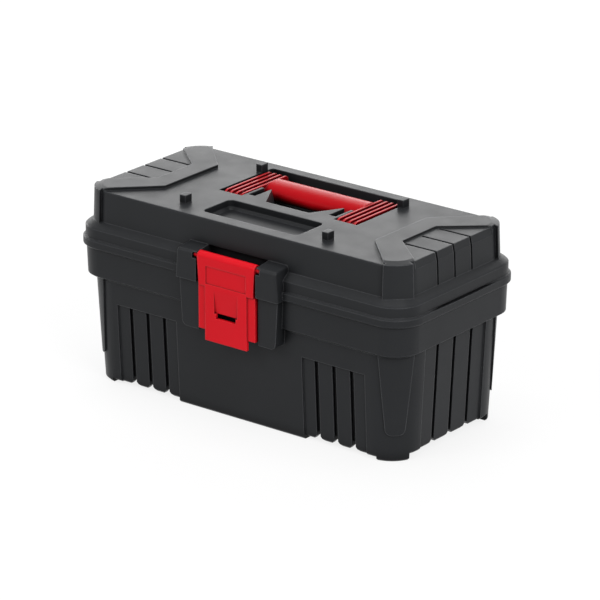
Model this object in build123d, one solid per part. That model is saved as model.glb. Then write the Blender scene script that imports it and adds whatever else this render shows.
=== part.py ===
"""Moulded plastic toolbox with a lift-out tray, a folding carry handle and one front latch.

Millimetres. +X runs along the box to the right, the latch faces -Y and +Z is up.
The origin is at the middle of the box, on the surface that it stands on.
"""
from build123d import *
from math import atan2, degrees, radians, tan
import os

# Rim of the lid, the widest outline of the box
rim_length = 400.0
rim_depth = 191.0
rim_corner = 31.0
wall = 2.5
seam_gap = 0.4

# Tub, from the floor upwards
base_z = 9.0
rib_foot_z = 3.0
end_rib_foot_z = 6.0
floor_thickness = 3.0
base_bevel = 2.0
tub_inset_bottom = 14.2
tub_inset_top = 8.6
tub_corner = 30.0
collar_z = 107.0
collar_slope = 3.0
collar_height = 31.6
collar_inset_bottom = 4.2
collar_inset_top = 3.2
rim_rise = 6.0
ledge_thickness = 3.0

# Ribbed panels, corner tongues and feet of the tub, measured in from the rim
panel_inner_x = 76.0
panel_from_end = 50.5
panel_from_side = 48.0
panel_drop = 23.0
panel_recess = 1.7
groove_width = 4.3
groove_depth = 3.4
groove_flare = 4.0
groove_pitch_x = 20.7
groove_pitch_y = 26.4
grooves_per_panel = 3
tongue_raise = 1.6
tongue_from_end = 34.5
tongue_from_side = 32.0
tongue_taper = 5.0
tongue_bottom_z = 27.0
tongue_round = 6.0
foot_from_end = 39.5
foot_from_side = 34.0
foot_strip_width = 16.0

# Lid, tier by tier above the seam
skirt_height = 9.4
skirt_round = 1.6
band_inset = 2.5
band_height = 11.5
ledge_inset = 10.8
ledge_rise = 4.7
lid_edge_drop = 1.5
lid_edge_inset = 12.2
lid_height = 56.4
lid_top_inset = 12.9
lid_roof = 2.8
lid_corner = 27.0

# Raised corner posts and end frames on the lid, measured in from the rim
post_from_end = 30.0
post_from_side = 29.5
post_proud = 3.3
frame_raise = 3.0
post_slope_height = 1.9
post_slope_width = 8.0
frame_from_end = 74.0
frame_from_side = 55.5
end_panel_from_end = 52.5
end_panel_half_y = 26.0
end_panel_outer_from_end = 13.0
end_panel_outer_from_side = 35.5
end_panel_raise = 1.0
end_bevel_width = 0.9
end_bevel_height = 7.5
end_groove_width = 2.8
end_groove_depth = 1.5
end_groove_pitch = 26.5
end_groove_margin = 3.0
end_grooves = 3
slit_from_side = 37.5
slit_thickness = 1.9
slit_depth = 1.6
slit_drop = 0.6

# Handle well in the lid
well_half_x = 83.0
well_front_y = -11.0
well_from_side = 24.5
well_depth = 30.0
well_corner = 3.0
arm_slot_inner_x = 55.5
slot_wall = 3.0
web_slot_width = 8.0
web_slot_setback = 7.0
tab_length = 31.0
tab_tip_gap = 1.0
scoop_front_half = 26.0
scoop_lean = 8.8

# Four pegs and the small-parts recess on the lid
peg_from_well = 2.5
peg_from_side = 37.5
peg_size_x = 7.0
peg_size_y = 9.4
peg_height = 8.0
recess_half_x = 57.0
recess_from_side = 26.5
recess_from_well = 15.0
recess_depth = 9.0
recess_corner = 6.0
recess_floor_bevel = 2.5

# Carry handle
handle_proud = 0.4
handle_end_gap = 0.6
handle_side_gap = 4.2
handle_slot_gap = 1.5
handle_back_gap = 8.0
handle_axle_radius = 3.5
handle_boss_radius = 7.4
handle_arm_drop = 20.0
handle_ridges = 4
handle_ridge_gap = 4.6
handle_groove_depth = 2.6
groove_ramp = 45.0
grip_tab_gap = 5.0
grip_from_arm_end = 4.5
grip_height = 19.4
grip_raise = 1.0
bearing_clearance = 0.06

# Latch on the lid and its housing on the tub
latch_proud = 8.5
latch_pivot_rise = 0.3
latch_barrel_radius = 5.0
latch_trunnion_radius = 2.8
latch_trunnion_length = 4.0
latch_side_gap = 1.7
latch_upper_taper = 1.8
latch_wing_gap = 2.0
latch_plate_half = 25.0
latch_thickness = 3.4
latch_wing_setback = 1.6
latch_return_thickness = 2.2
latch_return_depth = 7.0
latch_shoulder_drop = 1.6
latch_wing_rise = 3.0
latch_lip_drop = 7.0
latch_panel_margin = 1.0
latch_panel_drop = 7.5
latch_panel_rise = 2.5
latch_panel_depth = 0.9
latch_ramp_half = 14.0
latch_ramp_drop = 2.0
latch_ramp_depth = 2.2
latch_slot_half = 12.0
latch_slot_rise = 22.0
latch_slot_height = 5.0
latch_hook_half = 11.0
latch_hook_height = 6.0
latch_catch_clearance = 0.5
catch_height = 5.0
catch_reach = 2.6
cheek_inner_x = 36.0
cheek_outer_x = 61.5
cheek_taper = 2.5
cheek_cover = 3.5
cheek_slope = 2.5
cheek_round = 4.0
cheek_side_round = 2.5
pocket_drop = 8.5
pocket_depth = 5.0
housing_half_top = 59.0
housing_half_bottom = 56.0
housing_drop = 17.0
housing_setback = 4.0
housing_corner = 6.0
housing_channel_depth = 6.5

# Rear hinges
hinge_from_end = 85.0
hinge_knuckle_radius = 4.0
hinge_pin_radius = 2.0
hinge_tub_knuckle = 30.0
hinge_lid_knuckle = 12.0
hinge_side_gap = 0.4
hinge_lug_drop = 22.0
hinge_lug_rise = 9.0
hinge_lug_blend = 0.8

# Lift-out tray
tray_side_clearance = 0.8
tray_rest_gap = 0.3
tray_flange = 2.4
tray_lip_height = 4.0
tray_depth = 37.0
tray_draft = 3.0
tray_wall = 2.0
tray_spine = 3.0
tray_divider = 2.0
tray_small_half_x = 57.0
tray_grip_half_x = 62.0
tray_grip_rise = 22.0
tray_grip_taper = 14.0
tray_grip_bar = 5.0
tray_grip_hole_half = 40.0
tray_grip_hole_drop = 4.0
tray_grip_round = 1.0

# Plan of the tub and the lid, worked out from the sizes above
half_depth = rim_depth / 2
half_length = rim_length / 2
tub_centre = tub_corner + tub_inset_bottom
lid_centre = lid_corner + ledge_inset
inner_depth = panel_recess + groove_depth + wall
cut_y = half_depth - tub_inset_bottom - inner_depth
cut_x = half_length - tub_inset_bottom - inner_depth
panel_outer_x = half_length - panel_from_end
panel_half_y = half_depth - panel_from_side
tongue_front_x = half_length - tongue_from_end
tongue_end_y = half_depth - tongue_from_side
foot_corner_x = half_length - foot_from_end
foot_corner_y = half_depth - foot_from_side
post_front_x = half_length - post_from_end
post_end_y = half_depth - post_from_side
frame_inner_x = half_length - frame_from_end
frame_inner_y = half_depth - frame_from_side
end_panel_x = half_length - end_panel_from_end
end_panel_outer_x = half_length - end_panel_outer_from_end
end_panel_outer_y = half_depth - end_panel_outer_from_side
slit_half_length = half_depth - slit_from_side
hinge_x = half_length - hinge_from_end

# Heights
panel_top_z = collar_z - panel_drop
ledge_z = collar_z + collar_slope + ledge_thickness
seam_z = collar_z + collar_height
rim_z = seam_z + rim_rise
skirt_top_z = seam_z + skirt_height
band_top_z = skirt_top_z + band_height
ledge_top_z = band_top_z + ledge_rise
lid_top_z = seam_z + lid_height
lid_edge_z = lid_top_z - lid_edge_drop
post_edge_z = lid_top_z + frame_raise - post_slope_height
post_edge_inset = lid_edge_inset - post_proud
well_floor_z = lid_top_z - well_depth

# Handle well, handle, pegs and recess
well_back_y = half_depth - well_from_side
web_slot_outer_x = arm_slot_inner_x - slot_wall
web_slot_inner_x = web_slot_outer_x - web_slot_width
web_slot_front_y = well_front_y + web_slot_setback
tab_tip_y = well_front_y + tab_length
peg_x = well_half_x + peg_from_well
peg_y = half_depth - peg_from_side
recess_front_y = -half_depth + recess_from_side
recess_back_y = well_front_y - recess_from_well
handle_pivot_y = well_front_y + handle_end_gap + handle_boss_radius
handle_pivot_z = lid_top_z + handle_proud - handle_boss_radius
handle_arm_inner_x = arm_slot_inner_x + handle_slot_gap
handle_arm_outer_x = well_half_x - handle_side_gap
handle_arm_back_y = well_back_y - handle_back_gap
grip_front_y = tab_tip_y + grip_tab_gap
grip_back_y = handle_arm_back_y - grip_from_arm_end

# Latch, its housing and the hinges
front_reach = half_depth + latch_proud
latch_pivot_y = -front_reach + latch_barrel_radius
latch_pivot_z = ledge_top_z + latch_pivot_rise
latch_upper_half = cheek_inner_x - latch_side_gap
latch_wing_half = cheek_inner_x - latch_wing_gap
latch_trunnion_half = cheek_inner_x + latch_trunnion_length
latch_panel_half = latch_plate_half - latch_panel_margin
housing_bottom_z = collar_z - housing_drop
latch_shoulder_z = seam_z - latch_shoulder_drop
latch_wing_bottom_z = housing_bottom_z + latch_wing_rise
latch_bottom_z = housing_bottom_z - latch_lip_drop
latch_panel_top_z = latch_pivot_z - latch_panel_drop
latch_panel_bottom_z = latch_shoulder_z + latch_panel_rise
latch_ramp_top_z = latch_shoulder_z - latch_ramp_drop
latch_slot_top_z = housing_bottom_z + latch_slot_rise
cheek_front_z = latch_pivot_z + cheek_cover
cheek_top_z = cheek_front_z + cheek_slope
pocket_low_z = latch_pivot_z - pocket_drop
pocket_y = -half_depth + lid_edge_inset + pocket_depth
channel_y = -front_reach + housing_setback + housing_channel_depth
hinge_y = front_reach - hinge_knuckle_radius
hinge_z = seam_z


# Basic helpers

def block(x_range, y_range, z_range):
    """Box between two limits on each axis."""
    size = [high - low for low, high in (x_range, y_range, z_range)]
    middle = [(high + low) / 2 for low, high in (x_range, y_range, z_range)]
    return Pos(*middle) * Box(*size)


def outline(inset, centre=rim_corner):
    """Rounded plan of the box, moved in from the lid's rim; corners turn about a fixed centre."""
    return RectangleRounded(rim_length - 2 * inset, rim_depth - 2 * inset, centre - inset)


def tier(low, high, centre=rim_corner):
    """Drafted solid between two plans, each given as (height, inset)."""
    (low_z, low_inset), (high_z, high_inset) = low, high
    height = high_z - low_z
    draft = degrees(atan2(high_inset - low_inset, height))
    return Pos(0, 0, low_z) * extrude(outline(low_inset, centre), height, dir=(0, 0, 1), taper=draft)


def stack(profile, centre=rim_corner):
    """Solid through a list of (height, inset), which may step straight in or out."""
    tiers = [tier(low, high, centre) for low, high in zip(profile, profile[1:]) if high[0] > low[0]]
    return tiers[0] + tiers[1:]


def along_x(profile, x_from, x_to):
    """Extrude a (y, z) profile along X."""
    return Pos(x_from, 0, 0) * extrude(Plane.YZ * profile, x_to - x_from, dir=(1, 0, 0))


def along_y(profile, y_from, y_to):
    """Extrude an (x, z) profile along Y."""
    return Pos(0, y_from, 0) * extrude(Plane.XZ * profile, y_to - y_from, dir=(0, 1, 0))


def rod_x(radius, x_from, x_to, y, z):
    """Round bar along X."""
    return Pos(0, y, z) * along_x(Circle(radius), x_from, x_to)


def shape(*points):
    """Flat face from corner points."""
    return Polygon(*points, align=None)


def both_ends(solid):
    """A solid and its mirror image across the middle of the box's length."""
    return solid + mirror(solid, Plane.YZ)


def four_corners(solid):
    """A solid and its mirror images in all four quarters."""
    half = both_ends(solid)
    return half + mirror(half, Plane.XZ)


# Tub

def draft_inset(z):
    """Inset of the tub's column faces at a height."""
    share = z / collar_z
    return tub_inset_bottom + (tub_inset_top - tub_inset_bottom) * share


def wall_layer(depth, low_z=base_z):
    """Drafted lower body whose faces lie a depth below the column faces."""
    bevel_z = low_z + base_bevel
    profile = [
        (low_z, draft_inset(low_z) + depth + base_bevel), (bevel_z, draft_inset(bevel_z) + depth),
        (collar_z, draft_inset(collar_z) + depth),
    ]
    return stack(profile, tub_centre)


def side_pair(x_range, top_z):
    """Space along the front wall between two distances from the middle, and along the back wall."""
    strip = block(x_range, (cut_y, half_depth), (0, top_z))
    return strip + mirror(strip, Plane.XZ)


def end_pair(half_y, top_z):
    """Space along both end walls, as far as a distance from the middle."""
    return both_ends(block((cut_x, half_length), (-half_y, half_y), (0, top_z)))


def groove_profile(middle, top, low_z):
    """Elevation of one groove, which opens out at the bottom edge."""
    half = groove_width / 2
    flare_z = low_z + groove_flare
    wide = half + groove_flare
    return shape(
        (middle - half, top), (middle - half, flare_z), (middle - wide, low_z),
        (middle + wide, low_z), (middle + half, flare_z), (middle + half, top),
    )


def groove_steps():
    """Places of the grooves in one panel, in pitches from its middle."""
    return [index - (grooves_per_panel - 1) / 2 for index in range(grooves_per_panel)]


def side_walls():
    """Front and back walls: columns, and ribbed panels set back between them."""
    panels = both_ends(side_pair((panel_inner_x, panel_outer_x), panel_top_z))
    skirt = side_pair((-foot_corner_x, foot_corner_x), base_z + base_bevel)
    middle_x = (panel_inner_x + panel_outer_x) / 2
    grooves = []
    for step in groove_steps():
        profile = groove_profile(middle_x + step * groove_pitch_x, panel_top_z, rib_foot_z)
        grooves.append(four_corners(along_y(profile, cut_y, half_depth)))
    columns = (wall_layer(0, rib_foot_z) & skirt) - panels
    return [columns, (wall_layer(panel_recess, rib_foot_z) & panels) - grooves], panels


def end_walls():
    """End walls, made in the same way."""
    panels = end_pair(panel_half_y, collar_z)
    skirt = end_pair(foot_corner_y, base_z + base_bevel)
    grooves = []
    for step in groove_steps():
        profile = groove_profile(step * groove_pitch_y, collar_z, end_rib_foot_z)
        grooves.append(both_ends(along_x(profile, cut_x, half_length)))
    columns = (wall_layer(0, end_rib_foot_z) & skirt) - panels
    return [columns, (wall_layer(panel_recess, end_rib_foot_z) & panels) - grooves], panels


def tongue_region(edge, reach):
    """Elevation of a corner tongue: open outwards, tapering down to a round end."""
    low_edge = edge + tongue_taper
    top_z = collar_z + collar_slope
    face = shape(
        (edge, top_z), (low_edge, tongue_bottom_z), (reach, tongue_bottom_z), (reach, top_z))
    corner = face.vertices().sort_by_distance((low_edge, tongue_bottom_z, 0))[0]
    return fillet(corner, tongue_round)


def tongues():
    """Raised tongues wrapped round the tub's four corners."""
    front = along_y(tongue_region(tongue_front_x, half_length), 0, half_depth)
    end = along_x(tongue_region(tongue_end_y, half_depth), 0, half_length)
    return four_corners(wall_layer(-tongue_raise) & front & end)


def feet():
    """Four corner feet and a long foot under the front and back middle panels."""
    top_z = base_z + base_bevel
    base = stack([
        (0, draft_inset(0) + base_bevel), (base_bevel, draft_inset(base_bevel)),
        (top_z, draft_inset(top_z)),
    ], tub_centre)
    strip_y = half_depth - tub_inset_bottom - foot_strip_width
    corner = block((foot_corner_x, half_length), (foot_corner_y, half_depth), (0, top_z))
    strip = block((-panel_inner_x, panel_inner_x), (strip_y, half_depth), (0, top_z))
    return base & (four_corners(corner) + strip + mirror(strip, Plane.XZ))


def latch_housing():
    """Block on the front of the tub with the channel that the latch closes into."""
    top_z = seam_z - seam_gap
    face = shape(
        (-housing_half_top, top_z), (-housing_half_bottom, housing_bottom_z),
        (housing_half_bottom, housing_bottom_z), (housing_half_top, top_z),
    )
    low = face.vertices().sort_by(Axis.Y)[:2]
    face = fillet(low, housing_corner)
    front_y = -front_reach + housing_setback
    body = along_y(face, front_y, -half_depth + tub_inset_bottom)
    channel = block((-cheek_inner_x, cheek_inner_x), (front_y, channel_y), (housing_bottom_z, top_z))
    catch_low_z = latch_slot_top_z + latch_hook_height + latch_catch_clearance
    catch = block(
        (-latch_hook_half, latch_hook_half), (channel_y - catch_reach, channel_y),
        (catch_low_z, catch_low_z + catch_height),
    )
    return body - channel + catch


def tub_hinge_lug():
    """Middle knuckle of one hinge, carried by a gusset on the back of the collar."""
    inner_y = half_depth - collar_inset_bottom - wall
    top_z = hinge_z - seam_gap
    reach = hinge_knuckle_radius
    blend = reach * hinge_lug_blend
    gusset = shape(
        (inner_y, top_z), (hinge_y, top_z), (hinge_y + blend, hinge_z - reach + blend / 2),
        (inner_y, hinge_z - hinge_lug_drop),
    )
    start = hinge_x - hinge_tub_knuckle / 2
    end = hinge_x + hinge_tub_knuckle / 2
    lug = along_x(gusset, start, end) + rod_x(reach, start, end, hinge_y, hinge_z)
    return lug - rod_x(hinge_pin_radius + bearing_clearance, start, end, hinge_y, hinge_z)


def tub_cavity():
    """Space inside the tub: the deep bin, and the wider part above the tray's ledge."""
    floor_z = base_z + floor_thickness
    low = tier(
        (floor_z, draft_inset(floor_z) + inner_depth), (ledge_z, draft_inset(ledge_z) + inner_depth),
        tub_centre,
    )
    upper = tier((ledge_z, collar_inset_bottom + wall), (rim_z, collar_inset_top + wall))
    return low + upper


def make_tub():
    """The deep bin, one moulding."""
    side_pieces, side_panels = side_walls()
    end_pieces, end_panels = end_walls()
    core = wall_layer(panel_recess + groove_depth)
    columns = wall_layer(0) - [side_panels, end_panels]
    collar = stack([
        (collar_z, tub_inset_top), (collar_z + collar_slope, collar_inset_bottom),
        (seam_z, collar_inset_top), (rim_z, collar_inset_top),
    ])
    body = core + [columns] + side_pieces + end_pieces
    body = body + [tongues(), feet(), collar, latch_housing(), both_ends(tub_hinge_lug())]
    return body - tub_cavity()


# Lid

def lid_outside():
    """Skirt, band and sloped ledge, then the drafted wall with its bevelled top edge."""
    low = stack([
        (seam_z, skirt_round), (seam_z + skirt_round, 0), (skirt_top_z - skirt_round, 0),
        (skirt_top_z, skirt_round), (skirt_top_z, band_inset),
        (band_top_z - skirt_round, band_inset), (band_top_z, band_inset + skirt_round),
        (ledge_top_z, ledge_inset),
    ])
    upper = stack([
        (band_top_z, ledge_inset), (ledge_top_z, ledge_inset), (lid_edge_z, lid_edge_inset),
        (lid_top_z, lid_top_inset),
    ], lid_centre)
    return low + upper


def lid_cavity():
    """Space under the lid, following its outside one wall in."""
    step_z = rim_z + seam_gap
    low = stack([
        (seam_z, wall), (step_z, wall), (step_z, band_inset + wall),
        (band_top_z - wall, band_inset + wall), (ledge_top_z - wall, ledge_inset + wall),
    ])
    upper = tier(
        (band_top_z, ledge_inset + wall), (lid_top_z - lid_roof, lid_edge_inset + wall), lid_centre)
    return low + upper


def corner_posts():
    """Posts that wrap the lid's corners and stand above its top."""
    top_z = lid_top_z + frame_raise
    region = block((post_front_x, half_length), (post_end_y, half_depth), (band_top_z, top_z))
    wrap = stack([
        (band_top_z, ledge_inset - post_proud), (post_edge_z, post_edge_inset),
        (top_z, post_edge_inset + post_slope_width),
    ], lid_centre)
    return four_corners(wrap & region)


def end_frames():
    """Raised bow-tie frame at each end of the lid's top, and the lower end panel inside it."""
    corner_x = frame_inner_x + half_depth - frame_inner_y
    frame = shape(
        (frame_inner_x, -frame_inner_y), (corner_x, -half_depth), (half_length, -half_depth),
        (half_length, -end_panel_outer_y), (end_panel_outer_x, -end_panel_outer_y),
        (end_panel_x, -end_panel_half_y), (end_panel_x, end_panel_half_y),
        (end_panel_outer_x, end_panel_outer_y), (half_length, end_panel_outer_y),
        (half_length, half_depth), (corner_x, half_depth), (frame_inner_x, frame_inner_y),
    )
    panel = shape(
        (end_panel_x, -end_panel_half_y), (end_panel_outer_x, -end_panel_outer_y),
        (half_length, -end_panel_outer_y), (half_length, end_panel_outer_y),
        (end_panel_outer_x, end_panel_outer_y), (end_panel_x, end_panel_half_y),
    )
    plates = extrude(frame, frame_raise, dir=(0, 0, 1)) + extrude(panel, end_panel_raise, dir=(0, 0, 1))
    slope_z = post_edge_z + (lid_top_inset - post_edge_inset) * post_slope_height / post_slope_width
    limit = stack([
        (lid_top_z, lid_top_inset), (slope_z, lid_top_inset),
        (lid_top_z + frame_raise, post_edge_inset + post_slope_width),
    ], lid_centre)
    return both_ends((Pos(0, 0, lid_top_z) * plates) & limit)


def end_bevel_profile(depth):
    """Corners of an end panel's section, sunk by a depth: top edge, bevel's foot, wall's foot."""
    top_x = half_length - lid_top_inset - end_bevel_width - depth
    edge_x = half_length - lid_edge_inset - depth
    foot_x = half_length - ledge_inset - depth
    return top_x, edge_x, foot_x


def end_cuts():
    """Bevel along each end panel's outer edge, and the grooves that run over it."""
    panel_z = lid_top_z + end_panel_raise
    edge_z = panel_z - end_bevel_height
    above_z = lid_top_z + frame_raise
    top_x, edge_x = end_bevel_profile(0)[:2]
    bevel = shape((top_x, panel_z), (edge_x, edge_z), (half_length, edge_z), (half_length, panel_z))
    cuts = along_y(bevel, -end_panel_outer_y, end_panel_outer_y)
    top_x, edge_x, foot_x = end_bevel_profile(end_groove_depth)
    floor_z = panel_z - end_groove_depth
    half = end_groove_width / 2
    for index in range(end_grooves):
        middle = (index - (end_grooves - 1) / 2) * end_groove_pitch
        over_panel = max(abs(middle) - end_panel_half_y, 0) / (end_panel_outer_y - end_panel_half_y)
        start_x = end_panel_x + end_groove_margin + over_panel * (end_panel_outer_x - end_panel_x)
        groove = shape(
            (start_x, floor_z), (top_x, floor_z), (edge_x, edge_z), (foot_x, ledge_top_z),
            (half_length, ledge_top_z), (half_length, above_z), (start_x, above_z),
        )
        cuts = cuts + along_y(groove, middle - half, middle + half)
    return both_ends(cuts)


def end_slits():
    """Thin lens-shaped recess on each short end, at the foot of the band."""
    face_x = half_length - band_inset
    tip = slit_half_length
    middle_z = skirt_top_z - slit_drop
    bulge = slit_thickness / 2
    upper = ThreePointArc((-tip, middle_z), (0, middle_z + bulge), (tip, middle_z))
    lower = ThreePointArc((tip, middle_z), (0, middle_z - bulge), (-tip, middle_z))
    return both_ends(along_x(make_face(upper + lower), face_x - slit_depth, half_length))


def small_recess(margin=0.0):
    """Small-parts recess in the lid's top, or with a margin the block that holds it."""
    length = 2 * (recess_half_x + margin)
    depth = recess_back_y - recess_front_y + 2 * margin
    middle_y = (recess_back_y + recess_front_y) / 2
    face = RectangleRounded(length, depth, recess_corner + margin)
    low_z = lid_top_z - recess_depth - margin
    solid = Pos(0, middle_y, low_z) * extrude(face, lid_top_z - low_z)
    if margin == 0.0:
        solid = chamfer(solid.faces().sort_by(Axis.Z)[0].edges(), recess_floor_bevel)
    return solid


def scoop_face(half_front, half_back):
    """Plan of the finger scoop in front of the grip, at one height."""
    return shape(
        (-half_front, well_front_y), (half_front, well_front_y),
        (half_back, tab_tip_y), (-half_back, tab_tip_y),
    )


def handle_well():
    """Well for the folded handle: arm slots, the grip's bay, finger scoop and side slots."""
    z_range = (well_floor_z, lid_top_z)
    bay = block((-well_half_x, well_half_x), (tab_tip_y, well_back_y), z_range)
    arm_slot = block((arm_slot_inner_x, well_half_x), (well_front_y, tab_tip_y), z_range)
    web_slot = block((web_slot_inner_x, web_slot_outer_x), (web_slot_front_y, tab_tip_y), z_range)
    back_half = web_slot_inner_x - tab_tip_gap
    scoop = loft([
        Pos(0, 0, well_floor_z) * scoop_face(scoop_front_half - scoop_lean, back_half - scoop_lean),
        Pos(0, 0, lid_top_z) * scoop_face(scoop_front_half, back_half),
    ], ruled=True)
    back_corners = bay.edges().filter_by(Axis.Z).sort_by(Axis.Y)[2:]
    return fillet(back_corners, well_corner) + both_ends(arm_slot + web_slot) + scoop


def latch_cheek():
    """One of the two blocks on the lid that carry the latch's trunnions."""
    back_y = -half_depth + lid_edge_inset
    side = shape(
        (back_y, seam_z), (-front_reach, seam_z), (-front_reach, cheek_front_z), (back_y, cheek_top_z))
    crown = side.vertices().sort_by_distance((-front_reach, cheek_front_z, 0))[0]
    front = shape(
        (cheek_inner_x, seam_z), (cheek_outer_x, seam_z), (cheek_outer_x - cheek_taper, cheek_top_z),
        (cheek_inner_x, cheek_top_z),
    )
    cheek = along_x(fillet(crown, cheek_round), cheek_inner_x, cheek_outer_x)
    cheek = cheek & along_y(front, -front_reach, back_y)
    outer = cheek.faces().sort_by(Axis.X)[-1].edges()
    edges = outer.filter_by(lambda edge: edge.center().Y < -half_depth and edge.center().Z > seam_z + wall)
    return fillet(edges, cheek_side_round)


def latch_pocket(margin=0.0):
    """Pocket in the lid's wall behind the latch's barrel, or with a margin the block round it."""
    half = cheek_inner_x + margin
    return block((-half, half), (-front_reach, pocket_y + margin),
                 (pocket_low_z - margin, cheek_top_z + margin))


def latch_notch():
    """Open-fronted bearing in a cheek for one of the latch's trunnions."""
    radius = latch_trunnion_radius + bearing_clearance
    end_x = latch_trunnion_half + seam_gap
    bore = rod_x(radius, cheek_inner_x, end_x, latch_pivot_y, latch_pivot_z)
    mouth = block(
        (cheek_inner_x, end_x), (-front_reach, latch_pivot_y),
        (latch_pivot_z - radius, latch_pivot_z + radius),
    )
    return bore + mouth


def lid_hinge_lug(start):
    """One outer knuckle of a hinge, carried by a web on the back of the skirt."""
    inner_y = half_depth - wall
    low_z = hinge_z + seam_gap
    reach = hinge_knuckle_radius
    blend = reach * hinge_lug_blend
    end = start + hinge_lid_knuckle
    web = shape(
        (inner_y, low_z), (inner_y, hinge_z + hinge_lug_rise),
        (hinge_y + reach - blend / 2, hinge_z + blend), (hinge_y, low_z),
    )
    lug = along_x(web, start, end) + rod_x(reach, start, end, hinge_y, hinge_z)
    return lug - rod_x(hinge_pin_radius + bearing_clearance, start, end, hinge_y, hinge_z)


def hinge_starts():
    """Where each of a hinge's two outer knuckles begins along X."""
    offset = hinge_tub_knuckle / 2 + hinge_side_gap
    return hinge_x - offset - hinge_lid_knuckle, hinge_x + offset


def peg():
    """Stacking peg on the lid's top."""
    half_x = peg_size_x / 2
    half_y = peg_size_y / 2
    return block((peg_x - half_x, peg_x + half_x), (peg_y - half_y, peg_y + half_y),
                 (lid_top_z - lid_roof, lid_top_z + peg_height))


def make_lid():
    """The lid, one moulding with the handle well, recess, frames and pegs."""
    well_box = block(
        (-well_half_x - wall, well_half_x + wall), (well_front_y - wall, well_back_y + wall),
        (well_floor_z - wall, lid_top_z),
    )
    hollow = lid_cavity() - [well_box, small_recess(wall), latch_pocket(wall)]
    body = lid_outside() + [corner_posts(), end_frames(), both_ends(latch_cheek())]
    body = body - [hollow, end_cuts(), end_slits(), small_recess(), handle_well(), latch_pocket()]
    axle_bore = rod_x(
        handle_axle_radius + bearing_clearance, well_half_x, well_half_x + wall,
        handle_pivot_y, handle_pivot_z,
    )
    body = body - [both_ends(axle_bore), both_ends(latch_notch())]
    return body + [four_corners(peg())] + [both_ends(lid_hinge_lug(start)) for start in hinge_starts()]


# Carry handle

def arm_profile():
    """Side view of a handle arm: round boss at the pivot, deeper at the grip."""
    boss = Pos(handle_pivot_y, handle_pivot_z) * Circle(handle_boss_radius)
    top_z = handle_pivot_z + handle_boss_radius
    low_z = handle_pivot_z - handle_boss_radius
    bar = shape(
        (handle_pivot_y, top_z), (handle_pivot_y, low_z), (grip_front_y, low_z),
        (grip_front_y + handle_boss_radius, top_z - handle_arm_drop),
        (handle_arm_back_y, top_z - handle_arm_drop), (handle_arm_back_y, top_z),
    )
    corners = bar.vertices().sort_by(Axis.X)[-2:]
    return boss + fillet(corners, handle_boss_radius / 2)


def arm_groove():
    """Side view of a groove between two ridges: level along the top, then a ramp down the boss."""
    top_z = handle_pivot_z + handle_boss_radius
    floor_radius = handle_boss_radius - handle_groove_depth
    bend_y = handle_pivot_y - floor_radius * tan(radians(groove_ramp / 2))
    ramp_length = floor_radius / tan(radians(groove_ramp))
    foot_y = bend_y - ramp_length
    return shape(
        (foot_y, handle_pivot_z), (bend_y, handle_pivot_z + floor_radius),
        (handle_arm_back_y, handle_pivot_z + floor_radius), (handle_arm_back_y, top_z), (foot_y, top_z),
    )


def handle_arm():
    """Arm with ridges along its top, and the axle stub that it turns on."""
    width = handle_arm_outer_x - handle_arm_inner_x
    ridge = (width - (handle_ridges - 1) * handle_ridge_gap) / handle_ridges
    arm = along_x(arm_profile(), handle_arm_inner_x, handle_arm_outer_x)
    for index in range(1, handle_ridges):
        end = handle_arm_inner_x + index * (ridge + handle_ridge_gap)
        arm = arm - along_x(arm_groove(), end - handle_ridge_gap, end)
    return arm + rod_x(
        handle_axle_radius, handle_arm_outer_x, well_half_x + wall, handle_pivot_y, handle_pivot_z)


def grip_section():
    """Oval section of the grip."""
    middle_y = (grip_back_y + grip_front_y) / 2
    middle_z = handle_pivot_z + handle_boss_radius + grip_raise - grip_height / 2
    return Pos(middle_y, middle_z) * Ellipse((grip_back_y - grip_front_y) / 2, grip_height / 2)


def make_handle():
    """Folding carry handle, one moulding."""
    grip = along_x(grip_section(), -handle_arm_inner_x, handle_arm_inner_x)
    return grip + both_ends(handle_arm())


# Latch

def latch_plates():
    """Front plate, side wings and their returns."""
    front = -front_reach
    low_half = latch_upper_half - latch_upper_taper
    upper = along_y(shape(
        (-low_half, latch_shoulder_z), (low_half, latch_shoulder_z),
        (latch_upper_half, latch_pivot_z), (-latch_upper_half, latch_pivot_z),
    ), front, front + latch_thickness)
    plate = block((-latch_plate_half, latch_plate_half), (front, front + latch_thickness),
                  (latch_bottom_z, latch_shoulder_z))
    wing_front = front + latch_wing_setback
    wings = block((-latch_wing_half, latch_wing_half), (wing_front, front + latch_thickness),
                  (latch_wing_bottom_z, latch_shoulder_z))
    side = block((latch_wing_half - latch_return_thickness, latch_wing_half),
                 (wing_front, wing_front + latch_return_depth), (latch_wing_bottom_z, latch_shoulder_z))
    return upper + plate + wings + both_ends(side)


def make_latch():
    """Over-centre latch, one moulding with its trunnions and hook."""
    front = -front_reach
    back = front + latch_thickness
    body = latch_plates()
    body = body + rod_x(latch_barrel_radius, -latch_upper_half, latch_upper_half,
                        latch_pivot_y, latch_pivot_z)
    body = body + rod_x(latch_trunnion_radius, -latch_trunnion_half, latch_trunnion_half,
                        latch_pivot_y, latch_pivot_z)
    panel = block((-latch_panel_half, latch_panel_half), (front, front + latch_panel_depth),
                  (latch_panel_bottom_z, latch_panel_top_z))
    slot_low_z = latch_slot_top_z - latch_slot_height
    ramp = shape((front, latch_ramp_top_z), (front + latch_ramp_depth, latch_slot_top_z),
                 (front, latch_slot_top_z))
    slot = block((-latch_slot_half, latch_slot_half), (front, back), (slot_low_z, latch_slot_top_z))
    hook_tip_y = channel_y - catch_reach - latch_catch_clearance
    hook = block((-latch_hook_half, latch_hook_half), (back, hook_tip_y),
                 (latch_slot_top_z, latch_slot_top_z + latch_hook_height))
    return body - panel - along_x(ramp, -latch_ramp_half, latch_ramp_half) - slot + hook


# Tray

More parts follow.
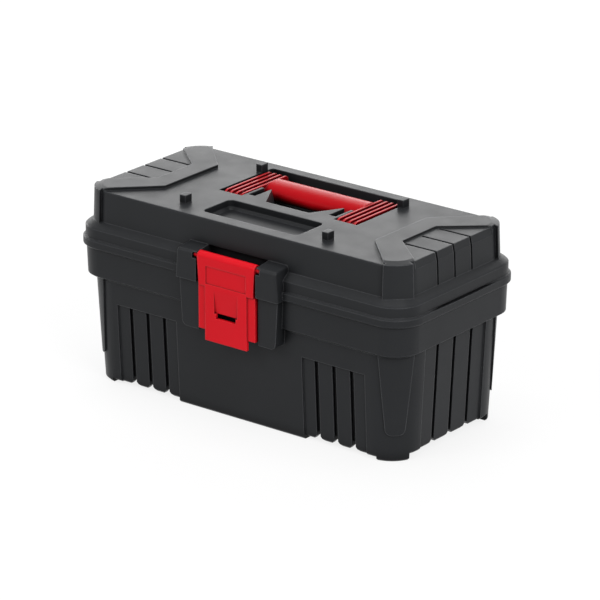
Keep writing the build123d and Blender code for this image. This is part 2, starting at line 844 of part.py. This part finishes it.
def make_tray():
    """Lift-out tray: rim on the tub's ledge, four bins and a bridge to carry it by."""
    rest_z = ledge_z + tray_rest_gap
    top_z = rest_z + tray_flange
    bottom_z = top_z - tray_depth
    rim_inset = collar_inset_bottom + wall + tray_side_clearance
    body_inset = draft_inset(ledge_z) + inner_depth + tray_side_clearance
    low_inset = body_inset + tray_draft
    rim = tier((rest_z, rim_inset), (top_z, rim_inset))
    lip = tier((rest_z, rim_inset), (top_z + tray_lip_height, rim_inset))
    lip_hole = tier((rest_z, rim_inset + tray_wall), (top_z + tray_lip_height, rim_inset + tray_wall))
    shell = tier((bottom_z, low_inset), (rest_z, body_inset), tub_centre)
    floor_z = bottom_z + tray_wall
    hollow = tier((floor_z, low_inset + tray_wall), (top_z, body_inset + tray_wall), tub_centre)
    inside_half = half_length - body_inset
    spine = block((-inside_half, inside_half), (-tray_spine / 2, tray_spine / 2), (bottom_z, top_z))
    inside_y = half_depth - body_inset
    divider = block((tray_small_half_x - tray_divider / 2, tray_small_half_x + tray_divider / 2),
                    (-inside_y, 0), (bottom_z, top_z))
    hollow = hollow - spine - both_ends(divider)
    tray = rim + (lip - lip_hole) + shell - hollow
    return tray_bridge(tray, top_z)


def tray_bridge(tray, spine_z):
    """Add the raised middle of the tray's spine, with a hand hole through it."""
    top_z = spine_z + tray_grip_rise
    web = shape(
        (-tray_grip_half_x, spine_z), (tray_grip_half_x, spine_z),
        (tray_grip_half_x - tray_grip_taper, top_z), (-tray_grip_half_x + tray_grip_taper, top_z),
    )
    bar_low_z = top_z - tray_grip_bar
    hole_low_z = spine_z - tray_grip_hole_drop
    hole = shape(
        (-tray_grip_hole_half, hole_low_z), (tray_grip_hole_half, hole_low_z),
        (tray_grip_hole_half, bar_low_z), (-tray_grip_hole_half, bar_low_z),
    )
    hole = fillet(hole.vertices(), tray_grip_round)
    bridge = along_y(web, -tray_spine / 2, tray_spine / 2)
    return tray + bridge - along_y(hole, -tray_spine, tray_spine)


# Hinge pins

def make_hinge_pin():
    """Steel pin of the right-hand hinge."""
    start, last = hinge_starts()
    return rod_x(hinge_pin_radius, start, last + hinge_lid_knuckle, hinge_y, hinge_z)


def main():
    """Write one file for each piece."""
    right_pin = make_hinge_pin()
    pieces = {
        "tub": make_tub(),
        "lid": make_lid(),
        "latch": make_latch(),
        "carry_handle": make_handle(),
        "tray": make_tray(),
        "hinge_pin_right": right_pin,
        "hinge_pin_left": mirror(right_pin, Plane.YZ),
    }
    os.makedirs("parts", exist_ok=True)
    for name, solid in pieces.items():
        export_step(solid, f"parts/{name}.step")


main()
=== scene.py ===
"""Looks of a moulded plastic toolbox with a red folding handle and a red latch."""
from math import radians

import bpy
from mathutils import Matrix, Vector

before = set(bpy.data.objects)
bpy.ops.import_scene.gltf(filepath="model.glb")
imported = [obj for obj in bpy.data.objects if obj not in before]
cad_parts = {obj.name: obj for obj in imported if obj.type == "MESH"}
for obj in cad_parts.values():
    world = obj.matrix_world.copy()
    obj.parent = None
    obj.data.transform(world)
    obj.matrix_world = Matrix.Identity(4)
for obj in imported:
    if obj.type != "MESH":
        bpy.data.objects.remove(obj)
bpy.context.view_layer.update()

# Camera, fitted to the photograph
image_width = 600.0
focal_pixels = 4056.97
sensor_width = 36.0
camera_azimuth = 38.181
camera_elevation = 20.407
camera_place = (2.2516, -2.8545, 1.4508)

# Colours as linear light: painted shade in hollows, the face's own colour in two tones, and a
# painted highlight along edges
anthracite = (
    (0.0030, 0.0032, 0.0036, 1.0), (0.0170, 0.0180, 0.0196, 1.0),
    (0.0205, 0.0216, 0.0236, 1.0), (0.0850, 0.0880, 0.0940, 1.0),
)
tray_grey = (
    (0.0120, 0.0124, 0.0132, 1.0), (0.0360, 0.0375, 0.0400, 1.0),
    (0.0440, 0.0455, 0.0485, 1.0), (0.0700, 0.0720, 0.0760, 1.0),
)
latch_red = (
    (0.110, 0.0008, 0.0020, 1.0), (0.640, 0.0050, 0.0130, 1.0),
    (0.700, 0.0070, 0.0165, 1.0), (0.800, 0.0300, 0.0400, 1.0),
)
handle_red = (
    (0.050, 0.0004, 0.0010, 1.0), (0.390, 0.0032, 0.0068, 1.0),
    (0.430, 0.0044, 0.0088, 1.0), (0.850, 0.1100, 0.1200, 1.0),
)
steel_dark = (0.430, 0.435, 0.440, 1.0)
steel = (0.520, 0.525, 0.530, 1.0)
white = (1.0, 1.0, 1.0, 1.0)

# Floor: how pale it is, how white it looks from afar and how much its shadow is lifted
floor_pale = (0.62, 0.62, 0.62, 1.0)
floor_roughness = 0.9
floor_glow = 1.1
floor_half = 12.0
shadow_lift = 0.75
shadow_from = 0.30
shadow_to = 0.85

# Studio light
ambient_light = 0.38
box_middle = (0.0, 0.0, 0.1)
box_top = (0.0, 0.0, 0.19)

# Moulded plastic, in metres where a value is a length
plastic_ior = 1.49
edge_round = 0.0016
edge_samples = 6
edge_face_lean = 0.98
edge_full_lean = 0.80
hollow_samples = 8
hollow_closed = 0.30
hollow_open = 0.90
cloud_scale = 9.0
gloss_scale = 40.0
grain_strength = 0.35
noise_low = 0.3
noise_high = 0.7

# Drawn steel
steel_mark_scale = 4000.0
steel_mark_stretch = (0.02, 1.0, 1.0)
steel_gloss = (0.25, 0.4)

# Sockets of a colour mix
mix_factor = 0
mix_first = 6
mix_second = 7
mix_colour = 2


def place_camera():
    """Camera at the photograph's viewing angle."""
    data = bpy.data.cameras.new("photo_camera")
    data.sensor_width = sensor_width
    data.lens = focal_pixels * sensor_width / image_width
    data.clip_end = 100.0
    camera = bpy.data.objects.new("photo_camera", data)
    camera.location = camera_place
    camera.rotation_euler = (radians(90.0 - camera_elevation), 0.0, radians(camera_azimuth))
    bpy.context.scene.collection.objects.link(camera)
    bpy.context.scene.camera = camera


def area_light(name, place, target, size, power):
    """Soft box aimed at a point."""
    data = bpy.data.lights.new(name, "AREA")
    data.shape = "RECTANGLE"
    data.size, data.size_y = size
    data.energy = power
    light = bpy.data.objects.new(name, data)
    light.location = place
    aim = Vector(target) - Vector(place)
    light.rotation_euler = aim.to_track_quat("-Z", "Y").to_euler()
    light.visible_camera = False
    bpy.context.scene.collection.objects.link(light)


def link(tree, from_node, from_socket, to_node, to_socket):
    """Join two sockets."""
    tree.links.new(from_node.outputs[from_socket], to_node.inputs[to_socket])


def seen_as_background(tree):
    """One for rays from the camera, off a glossy surface or through a clear one, else zero."""
    path = tree.nodes.new("ShaderNodeLightPath")
    glossy = tree.nodes.new("ShaderNodeMath")
    glossy.operation = "MAXIMUM"
    link(tree, path, "Is Camera Ray", glossy, 0)
    link(tree, path, "Is Glossy Ray", glossy, 1)
    clear = tree.nodes.new("ShaderNodeMath")
    clear.operation = "MAXIMUM"
    link(tree, glossy, 0, clear, 0)
    link(tree, path, "Is Transmission Ray", clear, 1)
    return clear


def light_world():
    """White surroundings: plain white where they are seen, softer where they only light."""
    world = bpy.data.worlds.new("studio")
    world.use_nodes = True
    tree = world.node_tree
    background = tree.nodes["Background"]
    background.inputs["Color"].default_value = white
    seen = seen_as_background(tree)
    strength = tree.nodes.new("ShaderNodeMapRange")
    strength.inputs["To Min"].default_value = ambient_light
    strength.inputs["To Max"].default_value = 1.0
    link(tree, seen, 0, strength, "Value")
    link(tree, strength, 0, background, "Strength")
    bpy.context.scene.world = world


def floor_material():
    """Pale floor that keeps the shadow near the object and runs out into the white surroundings."""
    material = bpy.data.materials.new("floor_white")
    material.use_nodes = True
    tree = material.node_tree
    shader = tree.nodes["Principled BSDF"]
    shader.inputs["Base Color"].default_value = floor_pale
    shader.inputs["Roughness"].default_value = floor_roughness
    shader.inputs["Specular IOR Level"].default_value = 0.0
    glow = tree.nodes.new("ShaderNodeEmission")
    glow.inputs["Color"].default_value = white
    glow.inputs["Strength"].default_value = floor_glow
    place = tree.nodes.new("ShaderNodeNewGeometry")
    reach = tree.nodes.new("ShaderNodeVectorMath")
    reach.operation = "LENGTH"
    link(tree, place, "Position", reach, 0)
    far = tree.nodes.new("ShaderNodeMapRange")
    far.interpolation_type = "SMOOTHSTEP"
    far.inputs["From Min"].default_value = shadow_from
    far.inputs["From Max"].default_value = shadow_to
    far.inputs["To Min"].default_value = shadow_lift
    link(tree, reach, "Value", far, "Value")
    both = tree.nodes.new("ShaderNodeMath")
    both.operation = "MULTIPLY"
    link(tree, far, 0, both, 0)
    link(tree, seen_as_background(tree), 0, both, 1)
    mix = tree.nodes.new("ShaderNodeMixShader")
    link(tree, both, 0, mix, 0)
    link(tree, shader, 0, mix, 1)
    link(tree, glow, 0, mix, 2)
    link(tree, mix, 0, tree.nodes["Material Output"], "Surface")
    return material


def lay_floor():
    """Floor that the box stands on."""
    mesh = bpy.data.meshes.new("floor")
    half = floor_half
    corners = [(-half, -half, 0.0), (half, -half, 0.0), (half, half, 0.0), (-half, half, 0.0)]
    mesh.from_pydata(corners, [], [(0, 1, 2, 3)])
    floor = bpy.data.objects.new("floor", mesh)
    floor.data.materials.append(floor_material())
    bpy.context.scene.collection.objects.link(floor)


def noise(tree, scale, detail, roughness=0.5):
    """Noise over the object's own coordinates, in turns to the metre."""
    place = tree.nodes.new("ShaderNodeTexCoord")
    node = tree.nodes.new("ShaderNodeTexNoise")
    node.inputs["Scale"].default_value = scale
    node.inputs["Detail"].default_value = detail
    node.inputs["Roughness"].default_value = roughness
    link(tree, place, "Object", node, "Vector")
    return node


def spread(tree, source, low, high):
    """Map a noise onto a range of values."""
    node = tree.nodes.new("ShaderNodeMapRange")
    node.inputs["From Min"].default_value = noise_low
    node.inputs["From Max"].default_value = noise_high
    node.inputs["To Min"].default_value = low
    node.inputs["To Max"].default_value = high
    link(tree, source, "Fac", node, "Value")
    return node


def colour_mix(tree):
    """Node that mixes two colours."""
    node = tree.nodes.new("ShaderNodeMix")
    node.data_type = "RGBA"
    return node


def paint_edge_highlight(tree, tint, rounded, pale):
    """Paint a highlight into a colour along outer edges, where the rounded normal leaves the face's
    own.
    """
    face = tree.nodes.new("ShaderNodeNewGeometry")
    lean = tree.nodes.new("ShaderNodeVectorMath")
    lean.operation = "DOT_PRODUCT"
    link(tree, rounded, "Normal", lean, 0)
    link(tree, face, "Normal", lean, 1)
    edge_highlight = tree.nodes.new("ShaderNodeMapRange")
    edge_highlight.inputs["From Min"].default_value = edge_face_lean
    edge_highlight.inputs["From Max"].default_value = edge_full_lean
    link(tree, lean, "Value", edge_highlight, "Value")
    edge_highlighted = colour_mix(tree)
    edge_highlighted.inputs[mix_second].default_value = pale
    link(tree, edge_highlight, 0, edge_highlighted, mix_factor)
    link(tree, tint, mix_colour, edge_highlighted, mix_first)
    return edge_highlighted


def paint_shade_in_hollows(tree, tint, hollow_shade_tone, reach):
    """Paint shade into a colour in grooves, gaps and inside corners, darker where the surroundings
    close in.
    """
    hollow = tree.nodes.new("ShaderNodeAmbientOcclusion")
    hollow.samples = hollow_samples
    hollow.inputs["Distance"].default_value = reach
    openness = tree.nodes.new("ShaderNodeMapRange")
    openness.inputs["From Min"].default_value = hollow_closed
    openness.inputs["From Max"].default_value = hollow_open
    link(tree, hollow, "AO", openness, "Value")
    shaded = colour_mix(tree)
    shaded.inputs[mix_first].default_value = hollow_shade_tone
    link(tree, openness, 0, shaded, mix_factor)
    link(tree, tint, mix_colour, shaded, mix_second)
    return shaded


def moulded_plastic(name, tones, shine, gloss, grain_size, grain_depth, reach):
    """Moulded plastic: cloudy colour, painted shade in hollows, painted highlights along edges,
    fine grain and uneven gloss.
    """
    hollow_shade_tone, dark, pale, edge_highlight = tones
    material = bpy.data.materials.new(name)
    material.use_nodes = True
    tree = material.node_tree
    shader = tree.nodes["Principled BSDF"]
    shader.inputs["IOR"].default_value = plastic_ior
    shader.inputs["Specular IOR Level"].default_value = shine
    clouds = noise(tree, cloud_scale, 4.0)
    tint = colour_mix(tree)
    tint.inputs[mix_first].default_value = dark
    tint.inputs[mix_second].default_value = pale
    link(tree, spread(tree, clouds, 0.0, 1.0), 0, tint, mix_factor)
    rounded = tree.nodes.new("ShaderNodeBevel")
    rounded.samples = edge_samples
    rounded.inputs["Radius"].default_value = edge_round
    # Painted highlight along the edges, then painted shade in the hollows.
    edge_highlighted = paint_edge_highlight(tree, tint, rounded, edge_highlight)
    link(tree, paint_shade_in_hollows(tree, edge_highlighted, hollow_shade_tone, reach), mix_colour, shader, "Base Color")
    sheen = noise(tree, gloss_scale, 3.0)
    link(tree, spread(tree, sheen, *gloss), 0, shader, "Roughness")
    grain = noise(tree, 1.0 / grain_size, 2.0, 0.6)
    bump = tree.nodes.new("ShaderNodeBump")
    bump.inputs["Strength"].default_value = grain_strength
    bump.inputs["Distance"].default_value = grain_depth
    link(tree, grain, "Fac", bump, "Height")
    link(tree, rounded, "Normal", bump, "Normal")
    link(tree, bump, "Normal", shader, "Normal")
    return material


def drawn_steel():
    """Steel wire with fine marks along its length."""
    material = bpy.data.materials.new("drawn_steel")
    material.use_nodes = True
    tree = material.node_tree
    shader = tree.nodes["Principled BSDF"]
    shader.inputs["Metallic"].default_value = 1.0
    place = tree.nodes.new("ShaderNodeTexCoord")
    squeeze = tree.nodes.new("ShaderNodeMapping")
    squeeze.inputs["Scale"].default_value = steel_mark_stretch
    link(tree, place, "Object", squeeze, "Vector")
    marks = tree.nodes.new("ShaderNodeTexNoise")
    marks.inputs["Scale"].default_value = steel_mark_scale
    link(tree, squeeze, "Vector", marks, "Vector")
    tint = colour_mix(tree)
    tint.inputs[mix_first].default_value = steel_dark
    tint.inputs[mix_second].default_value = steel
    link(tree, marks, "Fac", tint, mix_factor)
    link(tree, tint, mix_colour, shader, "Base Color")
    link(tree, spread(tree, marks, *steel_gloss), 0, shader, "Roughness")
    return material


def finish_node(name, material):
    """Give a piece its material."""
    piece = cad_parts[name]
    piece.data.materials.clear()
    piece.data.materials.append(material)


place_camera()
light_world()
lay_floor()
area_light("back_box", (-1.25, 1.98, 1.10), box_top, (3.2, 1.8), 39.0)
area_light("top_box", (0.0, 0.0, 2.0), box_middle, (1.6, 1.2), 16.0)
area_light("right_box", (2.2, -0.9, 1.5), box_middle, (1.4, 1.4), 36.0)
area_light("front_box", (-0.8, -2.2, 1.9), box_middle, (1.6, 1.2), 22.0)
area_light("left_strip", (-2.4, 0.5, 0.45), box_middle, (0.6, 0.9), 14.0)

body_plastic = moulded_plastic(
    "anthracite_plastic", anthracite, shine=0.12, gloss=(0.34, 0.42),
    grain_size=0.0007, grain_depth=0.00012, reach=0.016)
tray_plastic = moulded_plastic(
    "tray_plastic", tray_grey, shine=0.15, gloss=(0.42, 0.52),
    grain_size=0.0009, grain_depth=0.00015, reach=0.010)
latch_plastic = moulded_plastic(
    "red_plastic", latch_red, shine=0.10, gloss=(0.20, 0.27),
    grain_size=0.0006, grain_depth=0.00006, reach=0.006)
# The handle's painted shade in hollows reaches further and darkens the grip's lower side.
handle_plastic = moulded_plastic(
    "handle_plastic", handle_red, shine=0.05, gloss=(0.20, 0.27),
    grain_size=0.0006, grain_depth=0.00006, reach=0.035)
pin_steel = drawn_steel()
for name, material in (
        ("tub", body_plastic), ("lid", body_plastic), ("tray", tray_plastic),
        ("latch", latch_plastic), ("carry_handle", handle_plastic),
        ("hinge_pin_left", pin_steel), ("hinge_pin_right", pin_steel)):
    finish_node(name, material)

bpy.context.scene.view_settings.view_transform = "Standard"
